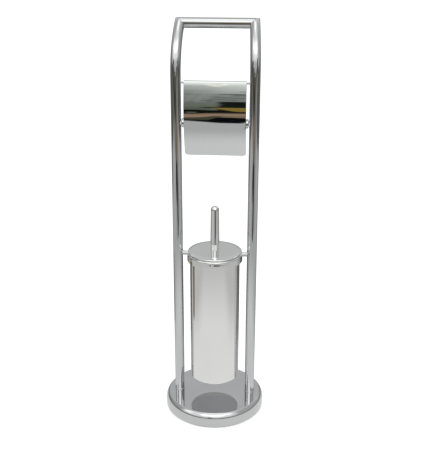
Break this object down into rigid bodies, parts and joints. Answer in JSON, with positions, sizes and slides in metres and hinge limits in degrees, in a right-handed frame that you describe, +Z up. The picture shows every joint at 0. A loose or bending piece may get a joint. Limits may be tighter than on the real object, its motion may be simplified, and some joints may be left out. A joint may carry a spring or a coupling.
{
  "type": "toilet paper stand",
  "caption": "Free-standing chromed tube stand with a weighted round base, a covered sprung roller for toilet paper and a lidded brush container hung between the uprights.",
  "frame": {"origin": "middle of the underside of the base, on the floor", "axes": "+Z up, +X to the stand's right seen from its front, +Y to its back, the side that the uprights bow towards"},
  "size_m": [0.2, 0.2, 0.7798],
  "materials": {
    "chrome": "polished chrome plate",
    "zinc_steel": "zinc plated",
    "spring_steel": "drawn wire",
    "white_plastic": "moulded, satin",
    "bristle": "fine filaments",
    "cement": "cast",
    "foam": "closed-cell foam"
  },
  "bodies": {
    "stand": {"base_pad": "foam", "base_weight": "cement", "base_cover": "chrome", "tube_screws": "zinc_steel", "screw_washers": "zinc_steel", "left_tube_plug": "zinc_steel", "right_tube_plug": "zinc_steel", "left_foot_collar": "chrome", "right_foot_collar": "chrome", "left_tube": "chrome", "right_tube": "chrome", "top_bar": "chrome", "left_hinge_pin": "chrome", "right_hinge_pin": "chrome", "left_roller_bush": "white_plastic", "right_roller_bush": "white_plastic", "left_holder_pin": "chrome", "right_holder_pin": "chrome", "holder_ring": "chrome", "container": "chrome", "drip_cup": "white_plastic"},
    "cover": {"roll_cover": "chrome", "left_cover_bush": "white_plastic", "right_cover_bush": "white_plastic"},
    "roller": {"roller_outer": "chrome", "roller_spring": "spring_steel"},
    "roller_plunger": {"roller_inner": "chrome"},
    "brush": {"lid": "chrome", "lid_plug": "white_plastic", "handle": "chrome", "handle_insert": "zinc_steel", "brush_stem": "zinc_steel", "lid_nut": "zinc_steel", "brush_core": "white_plastic", "bristles": "bristle"}
  },
  "joints": [
    {"name": "cover_hinge", "type": "hinge", "parent": "stand", "child": "cover", "pos_m": [0, 0, 0.6688], "axis": [-1, 0, 0], "range_deg": [0, 105]},
    {"name": "roller_spin", "type": "hinge", "parent": "stand", "child": "roller", "pos_m": [0, 0, 0.5946], "axis": [1, 0, 0], "continuous": true},
    {"name": "roller_plunge", "type": "slide", "parent": "roller", "child": "roller_plunger", "axis": [-1, 0, 0], "range_m": [0, 0.009], "stiffness_N_per_m": 300, "springref_m": -0.01, "deforming": ["roller_spring"]},
    {"name": "brush_lift", "type": "slide", "parent": "stand", "child": "brush", "axis": [0, 0, 1], "range_m": [0, 0.09]}
  ]
}
